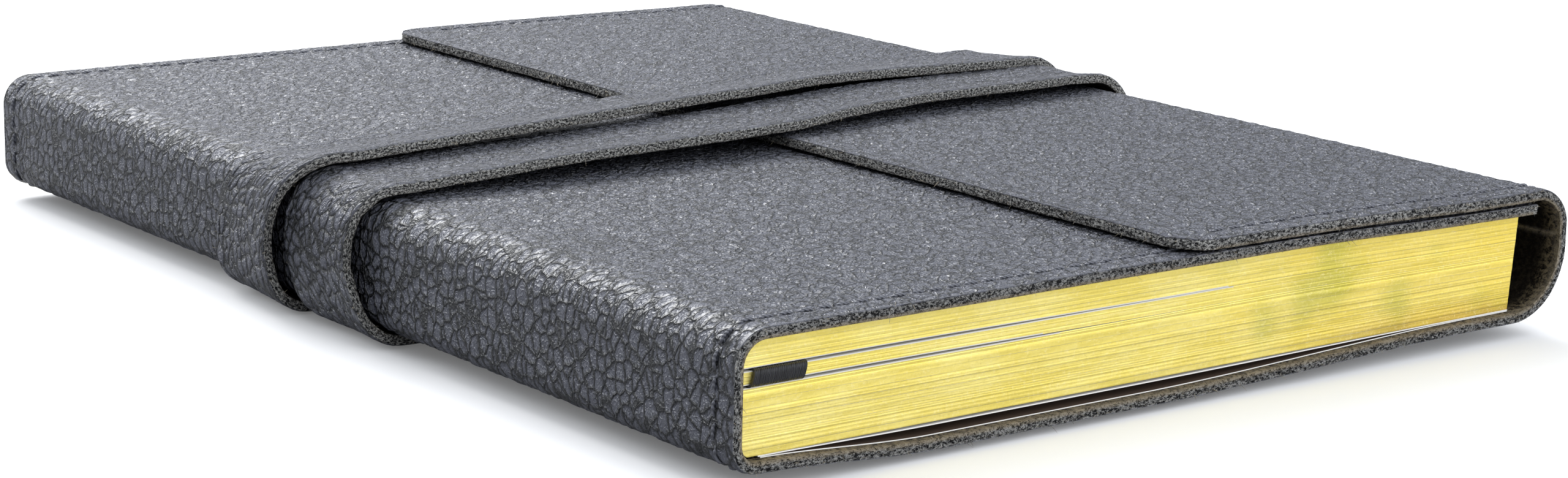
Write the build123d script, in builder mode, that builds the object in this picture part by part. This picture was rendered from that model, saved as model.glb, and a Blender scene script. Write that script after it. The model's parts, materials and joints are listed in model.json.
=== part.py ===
from build123d import *
import os
from math import acos, atan2, degrees, hypot

os.makedirs("parts", exist_ok=True)

# A prayer book in a limp leather jacket. Origin at the centre of its footprint on the table,
# +X from the spine to the fore-edge, +Y from tail to head, +Z up. Millimetres.

# Text block
block_width = 148.0
block_height = 213.0
block_thickness = 16.0
fore_edge_lean = 1.3
block_top_radius = 3.5
block_bottom_radius = 2.5
paper = 0.15
leaf_gap = 0.02
ribbon_gap = 0.36
upper_signatures = 4
middle_signatures = 2
lower_signatures = 10

# Leather jacket
leather = 1.8
overhang = 1.5
fore_gap = 8.0
cover_reach = 2.2
spine_gap = 0.4
spine_top_radius = 3.5
spine_bottom_radius = 2.5
loop_bottom_radius = 9.5
loop_top_radius = 5.0
layer_gap = 0.05
flap_reach = 75.5
flap_bow = 0.4
flap_tail_corner = 5.0
flap_head_corner = 8.0

# Stitching
stitch_margin = 4.0
thread_width = 0.5
thread_height = 0.3
groove_clearance = 0.05
flap_thread_inset = 7.0

# Strap
strap_width = 20.0
strap_pitch = 20.4
strap_near_edge = -20.6
tail_end_x = 25.0
start_end_x = -30.0

# Ribbon bookmark
ribbon_width = 9.0
ribbon_thickness = 0.25
ribbon_inset = 1.6
ribbon_fold_radius = 0.5
ribbon_head_inset = 8.0
ribbon_tucked_length = 70.0

# Spine lining and sewing cords
lining_margin = 5.0
lining_clearance = 0.05
cord_radius = 0.5
cord_count = 4
cord_spacing = 48.0
kerf_depth = 1.2
kerf_width = 1.3
cord_inset = 0.6
cord_end_gap = 0.4

# Levels and places
jacket_height = block_height + 2 * overhang
spine_x = -(block_width + fore_gap - spine_gap) / 2
fore_x = spine_x + block_width
jacket_left = spine_x - spine_gap
jacket_right = fore_x + fore_gap
base_z = 2 * leather + layer_gap
top_z = base_z + block_thickness
flap_z = top_z + leather + layer_gap
middle_z = base_z + block_thickness / 2
flap_edge_x = spine_x + flap_reach
cover_end_x = fore_x + cover_reach
stitch_row = jacket_height / 2 - stitch_margin
signature_count = upper_signatures + middle_signatures + lower_signatures
endpaper_stack = 2 * paper + 2 * leaf_gap
leaf_stack = block_thickness - 2 * endpaper_stack - 2 * ribbon_gap - leaf_gap
signature_thickness = leaf_stack / signature_count
signature_base = base_z + endpaper_stack + leaf_gap
middle_base = signature_base + lower_signatures * signature_thickness + ribbon_gap
upper_base = middle_base + middle_signatures * signature_thickness + ribbon_gap

# Fold centres of the jacket, seen along Y
spine_top_fold = (jacket_left + spine_top_radius, top_z - spine_top_radius)
spine_bottom_fold = (jacket_left + spine_bottom_radius, base_z + spine_bottom_radius)
loop_bottom_fold = (jacket_right - loop_bottom_radius, base_z + loop_bottom_radius)
loop_top_fold = (jacket_right - loop_top_radius, flap_z - loop_top_radius)


def save(part, name):
    """Label one finished piece and write it as its own STEP file."""
    part.label = name
    export_step(part, f"parts/{name}.step")


# Jacket panels. Each path is drawn at a depth measured outward from the jacket's inner face.


def front_cover_path(depth):
    """From the hinge fold at the spine's top corner to the cover's free edge."""
    CenterArc(spine_top_fold, spine_top_radius + depth, 90, 45)
    Line((spine_top_fold[0], top_z + depth), (cover_end_x, top_z + depth))


def spine_path(depth):
    """Down the spine, from its top corner round its bottom corner."""
    CenterArc(spine_top_fold, spine_top_radius + depth, 135, 45)
    Line((jacket_left - depth, spine_top_fold[1]), (jacket_left - depth, spine_bottom_fold[1]))
    CenterArc(spine_bottom_fold, spine_bottom_radius + depth, 180, 90)


def back_cover_path(depth):
    """Under the book to the lower fold of the fore-edge loop."""
    Line((spine_bottom_fold[0], base_z - depth), (loop_bottom_fold[0], base_z - depth))
    CenterArc(loop_bottom_fold, loop_bottom_radius + depth, 270, 45)


def fore_edge_path(depth):
    """Up round the fore-edge, between the loop's two folds."""
    CenterArc(loop_bottom_fold, loop_bottom_radius + depth, 315, 45)
    Line((jacket_right + depth, loop_bottom_fold[1]), (jacket_right + depth, loop_top_fold[1]))
    CenterArc(loop_top_fold, loop_top_radius + depth, 0, 45)


def flap_path(depth, end_x=flap_edge_x - flap_bow):
    """From the loop's upper fold over the front cover."""
    CenterArc(loop_top_fold, loop_top_radius + depth, 45, 45)
    Line((loop_top_fold[0], flap_z + depth), (end_x, flap_z + depth))


def flap_thread_path(depth):
    """The flap's stitch line, which stops short of its rounded corners."""
    flap_path(depth, flap_edge_x + flap_thread_inset)


def leather_panel(path, thread_path):
    """One leather panel, with a groove for the stitching along its tail and head edges."""
    groove_depth = thread_height + groove_clearance
    with BuildPart() as panel:
        with BuildSketch(Plane.XZ):
            with BuildLine():
                path(leather / 2)
            trace(line_width=leather)
        extrude(amount=jacket_height / 2, both=True)
        for side in (-1, 1):
            with BuildSketch(Plane.XZ.offset(side * stitch_row)):
                with BuildLine():
                    thread_path(leather)
                trace(line_width=2 * groove_depth)
            extrude(amount=thread_width / 2 + groove_clearance, both=True, mode=Mode.SUBTRACT)
    return panel.part


def stitch_lines(thread_path):
    """The sewing thread in a panel's two grooves."""
    with BuildPart() as threads:
        for side in (-1, 1):
            with BuildSketch(Plane.XZ.offset(side * stitch_row)):
                with BuildLine():
                    thread_path(leather - thread_height / 2)
                trace(line_width=thread_height)
            extrude(amount=thread_width / 2, both=True)
    return threads.part


def flap_panel():
    """The flap, with its slightly bowed free edge and rounded corners."""
    tail_point = (flap_edge_x + flap_bow, -jacket_height / 2)
    waist_point = (flap_edge_x - flap_bow, 0)
    head_point = (flap_edge_x + flap_bow, jacket_height / 2)
    far_x = jacket_right + 2 * leather
    with BuildPart() as flap:
        add(leather_panel(flap_path, flap_thread_path))
        with BuildSketch(Plane.XY):
            with BuildLine():
                Polyline(
                    tail_point,
                    (far_x, -jacket_height / 2),
                    (far_x, jacket_height / 2),
                    head_point,
                    waist_point,
                    close=True,
                )
            make_face()
            tail_corners = vertices().group_by(Axis.Y)[0]
            head_corners = vertices().group_by(Axis.Y)[-1]
            fillet(tail_corners.sort_by(Axis.X)[0], flap_tail_corner)
            fillet(head_corners.sort_by(Axis.X)[0], flap_head_corner)
        extrude(amount=2 * flap_z, mode=Mode.INTERSECT)
    return flap.part


save(leather_panel(front_cover_path, front_cover_path), "front_cover")
save(leather_panel(spine_path, spine_path), "spine_cover")
save(leather_panel(back_cover_path, back_cover_path), "back_cover")
save(leather_panel(fore_edge_path, fore_edge_path), "fore_edge_wall")
save(flap_panel(), "flap")

save(stitch_lines(front_cover_path), "front_cover_stitching")
save(stitch_lines(spine_path), "spine_stitching")
save(stitch_lines(back_cover_path), "back_cover_stitching")
save(stitch_lines(fore_edge_path), "fore_edge_stitching")
save(stitch_lines(flap_thread_path), "flap_stitching")


# Text block


def block_outline():
    """The block seen along Y: rounded at the spine, its fore-edge leaning in towards the bottom."""
    Polyline(
        (spine_x + block_bottom_radius, base_z),
        (fore_x - fore_edge_lean, base_z),
        (fore_x, top_z),
        (spine_x + block_top_radius, top_z),
    )
    CenterArc((spine_x + block_top_radius, top_z - block_top_radius), block_top_radius, 90, 90)
    Line((spine_x, top_z - block_top_radius), (spine_x, base_z + block_bottom_radius))
    CenterArc(
        (spine_x + block_bottom_radius, base_z + block_bottom_radius), block_bottom_radius, 180, 90
    )


def leaf_slab(bottom, thickness, kerfs=False):
    """A slice of the block between two levels, sawn at the spine where the cords lie."""
    with BuildPart() as slab:
        with BuildSketch(Plane.XZ):
            with BuildLine():
                block_outline()
            make_face()
            with Locations((0, bottom + thickness / 2)):
                Rectangle(2 * block_width, thickness, mode=Mode.INTERSECT)
        extrude(amount=block_height / 2, both=True)
        if kerfs:
            with BuildSketch(Plane.XY.offset(bottom)):
                with Locations((spine_x, 0)):
                    with GridLocations(0, cord_spacing, 1, cord_count):
                        Rectangle(2 * kerf_depth, kerf_width)
            extrude(amount=thickness, mode=Mode.SUBTRACT)
    return slab.part


save(leaf_slab(top_z - leaf_gap - paper, paper), "front_pastedown")
save(leaf_slab(top_z - endpaper_stack, paper), "front_flyleaf")
save(leaf_slab(base_z + leaf_gap, paper), "back_pastedown")
save(leaf_slab(base_z + endpaper_stack - paper, paper), "back_flyleaf")


def signature_group(first_number, count, group_base, kerfs):
    """Folded leaf sections, numbered downward, stacked upward from one level."""
    for step in range(count):
        bottom = group_base + step * signature_thickness
        number = first_number + count - 1 - step
        slab = leaf_slab(bottom, signature_thickness - leaf_gap, kerfs)
        save(slab, f"signature_{number:02d}")


signature_group(1, upper_signatures, upper_base, False)
signature_group(1 + upper_signatures, middle_signatures, middle_base, True)
signature_group(1 + upper_signatures + middle_signatures, lower_signatures, signature_base, True)

# Mull lining glued down the spine of the sections below the opening
with BuildPart() as spine_lining:
    lining_bottom = base_z + spine_bottom_radius
    with BuildSketch(Plane.XY.offset(lining_bottom)):
        with Locations((spine_x - spine_gap / 2, 0)):
            Rectangle(spine_gap - 2 * lining_clearance, block_height - 2 * lining_margin)
    extrude(amount=upper_base - ribbon_gap - lining_bottom)
save(spine_lining.part, "spine_lining")

# Cords sewn into the sawn kerfs
with BuildPart() as sewing_cords:
    cord_bottom = base_z + spine_bottom_radius
    cord_top = upper_base - ribbon_gap - cord_end_gap
    with BuildSketch(Plane.XY.offset(cord_bottom)):
        with Locations((spine_x + cord_inset, 0)):
            with GridLocations(0, cord_spacing, 1, cord_count):
                Circle(cord_radius)
    extrude(amount=cord_top - cord_bottom)
save(sewing_cords.part, "sewing_cords")


# Ribbon: lies along the upper opening, folds round the middle sections and tucks back below them
upper_arm_z = upper_base - ribbon_gap / 2 - leaf_gap / 2
lower_arm_z = middle_base - ribbon_gap / 2 - leaf_gap / 2
fold_y = -block_height / 2 - ribbon_fold_radius
with BuildPart() as ribbon:
    with BuildSketch(Plane.YZ.offset(spine_x + ribbon_inset)):
        with BuildLine():
            ribbon_path = Polyline(
                (block_height / 2 - ribbon_head_inset, upper_arm_z),
                (fold_y, upper_arm_z),
                (fold_y, lower_arm_z),
                (fold_y + ribbon_tucked_length, lower_arm_z),
            )
            fold_corners = ribbon_path.vertices().filter_by_position(Axis.Y, fold_y, fold_y)
            fillet(fold_corners, ribbon_fold_radius)
        trace(line_width=ribbon_thickness)
    extrude(amount=ribbon_width)
save(ribbon.part, "ribbon_bookmark")


# Strap: one strip wound twice round the closed book, so its near edge climbs on every run

wrap_reach = jacket_right + 2 * leather + 2 * layer_gap


def wrap_path(depth):
    """Closed path once round the book, taut from the flap's edge down to the spine's top corner."""
    radius = spine_top_radius + depth
    rise = flap_z + depth - spine_top_fold[1]
    run = flap_edge_x - spine_top_fold[0]
    touch = degrees(atan2(rise, run) + acos(radius / hypot(run, rise)))
    corner = CenterArc(spine_top_fold, radius, touch, 180 - touch)
    Line((jacket_left - depth, spine_top_fold[1]), (jacket_left - depth, spine_bottom_fold[1]))
    CenterArc(spine_bottom_fold, spine_bottom_radius + depth, 180, 90)
    Line((spine_bottom_fold[0], base_z - depth), (loop_bottom_fold[0], base_z - depth))
    CenterArc(loop_bottom_fold, loop_bottom_radius + depth, 270, 90)
    Line((jacket_right + depth, loop_bottom_fold[1]), (jacket_right + depth, loop_top_fold[1]))
    CenterArc(loop_top_fold, loop_top_radius + depth, 0, 90)
    Line((loop_top_fold[0], flap_z + depth), (flap_edge_x, flap_z + depth))
    Line((flap_edge_x, flap_z + depth), corner @ 0)


def strap_run(near_left, near_right, start_x, end_x, bottom, top):
    """One run of the strap over or under the book, its near edge going between two places."""
    slope = (near_right - near_left) / (2 * wrap_reach)
    start_y = near_left + slope * (start_x + wrap_reach)
    end_y = near_left + slope * (end_x + wrap_reach)
    with BuildPart() as run:
        with BuildSketch(Plane.XZ):
            with BuildLine():
                wrap_path(2 * leather + layer_gap)
            make_face()
            with BuildLine():
                wrap_path(leather + layer_gap)
            make_face(mode=Mode.SUBTRACT)
        extrude(amount=jacket_height / 2, both=True)
        with BuildSketch(Plane.XY.offset(bottom)):
            with BuildLine():
                Polyline(
                    (start_x, start_y),
                    (end_x, end_y),
                    (end_x, end_y + strap_width),
                    (start_x, start_y + strap_width),
                    close=True,
                )
            make_face()
        extrude(amount=top - bottom, mode=Mode.INTERSECT)
    return run.part


wrap_top = flap_z + 2 * leather + 2 * layer_gap
crossing = [strap_near_edge + strap_pitch / 2 * step for step in range(-1, 5)]
with BuildPart() as strap:
    add(strap_run(crossing[1], crossing[0], -wrap_reach, start_end_x, 0, middle_z))
    add(strap_run(crossing[1], crossing[2], -wrap_reach, wrap_reach, middle_z, wrap_top))
    add(strap_run(crossing[3], crossing[2], -wrap_reach, wrap_reach, 0, middle_z))
    add(strap_run(crossing[3], crossing[4], -wrap_reach, wrap_reach, middle_z, wrap_top))
    add(strap_run(crossing[5], crossing[4], tail_end_x, wrap_reach, 0, middle_z))
save(strap.part, "strap")
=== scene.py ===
import json
import math

import bpy
import numpy as np
from mathutils import Matrix, Vector


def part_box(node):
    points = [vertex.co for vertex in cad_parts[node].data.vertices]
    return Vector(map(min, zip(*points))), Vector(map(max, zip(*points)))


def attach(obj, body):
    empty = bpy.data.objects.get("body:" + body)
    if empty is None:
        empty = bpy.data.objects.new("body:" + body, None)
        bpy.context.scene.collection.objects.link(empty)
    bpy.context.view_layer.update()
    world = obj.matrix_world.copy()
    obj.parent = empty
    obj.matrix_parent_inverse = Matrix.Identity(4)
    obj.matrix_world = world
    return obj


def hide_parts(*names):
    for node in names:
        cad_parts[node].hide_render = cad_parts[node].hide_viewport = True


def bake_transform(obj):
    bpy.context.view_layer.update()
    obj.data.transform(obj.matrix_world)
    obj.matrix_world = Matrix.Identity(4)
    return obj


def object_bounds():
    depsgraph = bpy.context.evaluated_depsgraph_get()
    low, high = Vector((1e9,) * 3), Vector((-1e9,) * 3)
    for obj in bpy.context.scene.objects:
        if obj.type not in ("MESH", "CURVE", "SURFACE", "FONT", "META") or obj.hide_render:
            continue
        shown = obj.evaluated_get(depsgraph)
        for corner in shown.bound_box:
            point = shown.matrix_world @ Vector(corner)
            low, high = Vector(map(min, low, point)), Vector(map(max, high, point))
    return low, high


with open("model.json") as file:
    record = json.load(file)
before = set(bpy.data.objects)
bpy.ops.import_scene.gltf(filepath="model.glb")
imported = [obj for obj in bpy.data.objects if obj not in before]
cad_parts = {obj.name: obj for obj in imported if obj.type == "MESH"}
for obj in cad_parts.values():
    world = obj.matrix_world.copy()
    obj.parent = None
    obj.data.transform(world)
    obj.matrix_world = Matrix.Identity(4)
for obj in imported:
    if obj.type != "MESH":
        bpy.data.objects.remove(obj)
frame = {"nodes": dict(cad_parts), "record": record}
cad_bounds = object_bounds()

# A prayer book in a limp leather jacket. Shapes are worked out in millimetres and built in metres.

MM = 0.001
SEED = 1848
rng = np.random.default_rng(SEED)


def box_mm(node):
    """Lowest and highest corner of a CAD node, in millimetres."""
    low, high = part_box(node)
    return np.array(low) / MM, np.array(high) / MM


# ---- sizes

cover_high = box_mm("front_cover")[1]
flap_low, flap_high = box_mm("flap")

paper_gap = 0.02
top_z = box_mm("front_pastedown")[1][2] + paper_gap
base_z = box_mm("back_pastedown")[0][2] - paper_gap
leather = cover_high[2] - top_z
jacket_left = box_mm("spine_cover")[0][0] + leather
jacket_right = box_mm("fore_edge_wall")[1][0] - leather
flap_z = flap_high[2] - leather
half_length = cover_high[1]
spine_x = box_mm("signature_16")[0][0]
fore_x = box_mm("signature_01")[1][0]
cover_end_x = cover_high[0]

spine_top_radius = 3.5
spine_bottom_radius = 2.5
loop_bottom_radius = 9.5
loop_top_radius = 5.0
flap_waist_x = flap_low[0]
flap_bow = 0.8
flap_tail_corner = 5.0
flap_head_corner = 8.0
stitch_margin = 4.0
stitch_pitch = 3.1
fore_dip = 0.85
fore_lean = 1.3

corner_radii = (spine_top_radius, spine_bottom_radius, loop_bottom_radius, loop_top_radius)
corner_centres = (
    (jacket_left + spine_top_radius, top_z - spine_top_radius),
    (jacket_left + spine_bottom_radius, base_z + spine_bottom_radius),
    (jacket_right - loop_bottom_radius, base_z + loop_bottom_radius),
    (jacket_right - loop_top_radius, flap_z - loop_top_radius),
)

# ---- paths seen along Y


class Path:
    """A chain of straight and round stretches in the XZ plane, with the outward side on a known hand."""

    def __init__(self, mid_depth):
        self.stretches = []
        self.mid_depth = mid_depth
        self.length = 0.0

    def line(self, start, end, normal):
        size = math.dist(start, end)
        self.stretches.append((self.length, size, "line", (start, end, normal)))
        self.length += size

    def arc(self, centre, radius, start_deg, end_deg):
        sweep = math.radians(end_deg - start_deg)
        size = (radius + self.mid_depth) * abs(sweep)
        data = (centre, radius, math.radians(start_deg), sweep)
        self.stretches.append((self.length, size, "arc", data))
        self.length += size

    def at(self, s):
        """Points on the inner face and outward normals, at distances s along the path."""
        s = np.asarray(s, float)
        x, z, nx, nz = (np.zeros_like(s) for _ in range(4))
        for index, (start, size, kind, data) in enumerate(self.stretches):
            is_first, is_last = index == 0, index == len(self.stretches) - 1
            inside = ((s >= start) | is_first) & ((s < start + size) | is_last)
            t = (s[inside] - start) / size
            if kind == "line":
                a, b, normal = data
                x[inside] = a[0] + (b[0] - a[0]) * t
                z[inside] = a[1] + (b[1] - a[1]) * t
                nx[inside], nz[inside] = normal
            else:
                centre, radius, first, sweep = data
                angle = first + sweep * t
                nx[inside], nz[inside] = np.cos(angle), np.sin(angle)
                x[inside] = centre[0] + radius * nx[inside]
                z[inside] = centre[1] + radius * nz[inside]
        return x, z, nx, nz

    def end_of(self, index):
        """Distance along the path to the end of one of its stretches."""
        start, size = self.stretches[index][:2]
        return start + size


def jacket_path():
    """Inner face of the jacket, from the front cover's free edge round to the flap's free edge."""
    path = Path(leather / 2)
    (st, sb, lb, lt), (c_st, c_sb, c_lb, c_lt) = corner_radii, corner_centres
    path.line((cover_end_x, top_z), (c_st[0], top_z), (0, 1))
    path.arc(c_st, st, 90, 180)
    path.line((jacket_left, c_st[1]), (jacket_left, c_sb[1]), (-1, 0))
    path.arc(c_sb, sb, 180, 270)
    path.line((c_sb[0], base_z), (c_lb[0], base_z), (0, -1))
    path.arc(c_lb, lb, 270, 360)
    path.line((jacket_right, c_lb[1]), (jacket_right, c_lt[1]), (1, 0))
    path.arc(c_lt, lt, 0, 90)
    path.line((c_lt[0], flap_z), (flap_waist_x, flap_z), (0, 1))
    return path


def smooth(edge0, edge1, value):
    """Smooth step from 0 at edge0 to 1 at edge1."""
    t = np.clip((value - edge0) / (edge1 - edge0), 0, 1)
    return t * t * (3 - 2 * t)


def hump(value, centre, width):
    """A bell of height 1 round a centre."""
    return np.exp(-(((value - centre) / width) ** 2))


def waves(a, b, size, seed):
    """Smooth seeded unevenness over two coordinates, between about -1 and 1."""
    local = np.random.default_rng(seed)
    total = np.zeros(np.broadcast(a, b).shape)
    for octave in range(3):
        for _ in range(4):
            heading = local.uniform(0, 2 * math.pi)
            pitch = size / 2**octave * local.uniform(0.7, 1.4)
            phase = local.uniform(0, 2 * math.pi)
            along = a * math.cos(heading) + b * math.sin(heading)
            total = total + np.sin(2 * math.pi * along / pitch + phase) / 2**octave
    return total / 5


# ---- mesh helpers

RIM_ROWS = 7
WEAR_REACH = 0.9
SHARP_ANGLE = math.radians(55)


def mesh_object(name, points, faces, smooth_shading=True):
    """A mesh object from points in millimetres and a list of faces."""
    mesh = bpy.data.meshes.new(name)
    mesh.from_pydata((np.asarray(points) * MM).tolist(), [], faces)
    mesh.validate()
    mesh.polygons.foreach_set("use_smooth", [smooth_shading] * len(mesh.polygons))
    mesh.update()
    piece = bpy.data.objects.new(name, mesh)
    bpy.context.scene.collection.objects.link(piece)
    return piece


def finish(piece, look, nodes=(), body=None):
    """Gives a piece its material, the CAD nodes it stands for and the body it rides on."""
    piece.data.materials.append(look)
    if nodes:
        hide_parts(*nodes)
    if body:
        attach(piece, body)
    return piece


def set_attribute(piece, name, values):
    """Stores one number or one vector per vertex."""
    values = np.asarray(values, np.float32)
    kind, field = ("FLOAT", "value") if values.ndim == 1 else ("FLOAT_VECTOR", "vector")
    attribute = piece.data.attributes.new(name, kind, "POINT")
    attribute.data.foreach_set(field, values.ravel())


def grid_quads(grid):
    """The four corners of every cell of a grid of point numbers."""
    return np.stack([grid[:-1, :-1], grid[1:, :-1], grid[1:, 1:], grid[:-1, 1:]], -1)


def outward_directions(outer, row_of, column_of, open_ends):
    """Which way each point of a sheet's rim faces; none where the sheet meets the next one."""
    rows, columns = outer.shape[:2]
    outward = np.zeros((len(row_of), 3))
    outward[column_of == 0, 1] = -1
    outward[column_of == columns - 1, 1] = 1
    for row, next_row, is_open in ((0, 1, open_ends[0]), (-1, -2, open_ends[1])):
        at_end = row_of == row % rows
        if is_open:
            away = outer[row] - outer[next_row]
            away = away / np.linalg.norm(away, axis=1)[:, None]
            outward[at_end] += away[column_of[at_end]]
        else:
            outward[at_end] = 0
    return outward / np.maximum(np.linalg.norm(outward, axis=1), 1e-6)[:, None]


def slab(name, outer, inner, uv, skip, pale=0.5, rough=0.0, bulge=0.12, open_ends=(True, True)):
    """A closed sheet between two grids of points, with rows along the sheet and columns across it.
    The rim between them bulges outward, except at an end that meets the next sheet. The inner face keeps only
    every skip-th column. Returns the piece and its rim: outer line, inner line and outward directions."""
    rows, columns = outer.shape[:2]
    grid = np.arange(rows * columns).reshape(rows, columns)
    ring = np.concatenate([grid[0, :-1], grid[:-1, -1], grid[-1, :0:-1], grid[:0:-1, 0]])
    flat_outer, flat_inner, flat_uv = (g.reshape(-1, 3) for g in (outer, inner, uv))
    flat_pale = np.broadcast_to(pale, (rows, columns)).ravel()
    outward = outward_directions(outer, ring // columns, ring % columns, open_ends)
    batches = []

    def add(points, place, depth, cut, flesh, paleness):
        """Adds a batch of points at one depth in the leather, and returns their numbers."""
        first = sum(len(batch[0]) for batch in batches)
        size = len(points)
        shares = (np.broadcast_to(v, size) for v in (cut, flesh, paleness))
        batches.append((points, place + [0, 0, depth], *shares))
        return np.arange(first, first + size)

    previous = add(flat_outer, flat_uv, 0.0, 0.0, 0.0, flat_pale)[ring]
    faces = grid_quads(grid).reshape(-1, 4).tolist()
    local = np.random.default_rng(SEED + len(name))
    for k in range(1, RIM_ROWS + 1):
        t = k / RIM_ROWS
        swell = bulge * (1 - (2 * t - 1) ** 4)
        if k < RIM_ROWS:
            swell = swell + local.normal(0, rough, (len(ring), 1))
        row = flat_outer[ring] * (1 - t) + flat_inner[ring] * t + outward * swell
        flesh = 0.3 if k == RIM_ROWS else 0.0
        index = add(row, flat_uv[ring], t * leather, 1.0, flesh, flat_pale[ring])
        strip = np.stack([previous, index, np.roll(index, -1), np.roll(previous, -1)], -1)
        faces += strip[:, ::-1].tolist()
        previous = index
    place = -np.ones(rows * columns, int)
    place[ring] = previous
    place = place.reshape(rows, columns)
    kept = list(range(0, columns - 1, skip)) + [columns - 1]
    fresh = kept[1:-1]
    for i in range(1, rows - 1):
        place[i, fresh] = add(inner[i, fresh], uv[i, fresh], leather, 0.0, 1.0, 0.0)
    for i in range(rows - 1):
        for left, right in zip(kept[:-1], kept[1:]):
            whole, ends = slice(left, right + 1), [left, right]
            near = place[i, whole] if i == 0 else place[i, ends]
            far = place[i + 1, whole] if i == rows - 2 else place[i + 1, ends]
            faces.append([int(v) for v in (*near, *far[::-1])])
    points, *attributes = (np.concatenate(column) for column in zip(*batches))
    piece = mesh_object(name, points, faces)
    for attribute, values in zip(("leather_uv", "cut", "flesh", "pale"), attributes):
        set_attribute(piece, attribute, values)
    piece.data.set_sharp_from_angle(angle=SHARP_ANGLE)
    is_rim = np.linalg.norm(outward, axis=1) > 0.5
    return piece, (flat_outer[ring][is_rim], flat_inner[ring][is_rim], outward[is_rim])


def fuzz(name, rim, spacing, length, seed):
    """Loose fibres standing out of a cut edge: each is a closed bent needle."""
    local = np.random.default_rng(seed)
    outer, inner, outward = rim
    run = np.linalg.norm(np.diff(outer, axis=0), axis=1)
    count = int(run[run < 2.0].sum() / spacing)
    pick = local.integers(0, len(outer), count)
    depth = local.uniform(0.05, 0.95, count)[:, None]
    root = outer[pick] * (1 - depth) + inner[pick] * depth + local.normal(0, 0.15, (count, 3)) * [1, 0, 0]
    heading = outward[pick] + local.normal(0, 0.55, (count, 3))
    heading /= np.linalg.norm(heading, axis=1)[:, None]
    reach = np.clip(local.exponential(length, count), 0.15, 3.2 * length)[:, None]
    bend = local.normal(0, 0.3, (count, 3)) * reach
    side = np.cross(heading, local.normal(0, 1, (count, 3)))
    side /= np.linalg.norm(side, axis=1)[:, None]
    other = np.cross(heading, side)
    stations = ((-0.12, 0.0, 0.045), (0.55, 0.5, 0.032), (1.0, 1.0, 0.01))
    rings = []
    for along, curve, radius in stations:
        centre = root + heading * reach * along + bend * curve
        for turn in (0, 2 * math.pi / 3, 4 * math.pi / 3):
            rings.append(centre + radius * (side * math.cos(turn) + other * math.sin(turn)))
    points = np.stack(rings, 1).reshape(-1, 3)
    shape = [[2, 1, 0], [6, 7, 8]]
    for level in (0, 3):
        for i in range(3):
            j = (i + 1) % 3
            shape.append([level + i, level + j, level + 3 + j, level + 3 + i])
    faces = [[9 * k + v for v in face] for k in range(count) for face in shape]
    return finish(mesh_object(name, points, faces), fibre_look)


def across_samples(start, end, step, cluster=5.0):
    """Places across a sheet, closer together near both edges so that its corners come out round."""
    ramp = cluster * (np.arange(10) / 10) ** 2
    middle_count = max(2, int(round((end - start - 2 * cluster) / step)))
    middle = np.linspace(start + cluster, end - cluster, middle_count + 1)
    return np.concatenate([start + ramp, middle, (end - ramp)[::-1]])


def edge_wear(gap, depth):
    """How much a worn edge is rounded off, at a distance from it."""
    return depth * np.clip(1 - gap / WEAR_REACH, 0, 1) ** 2


# ---- node helpers


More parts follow.
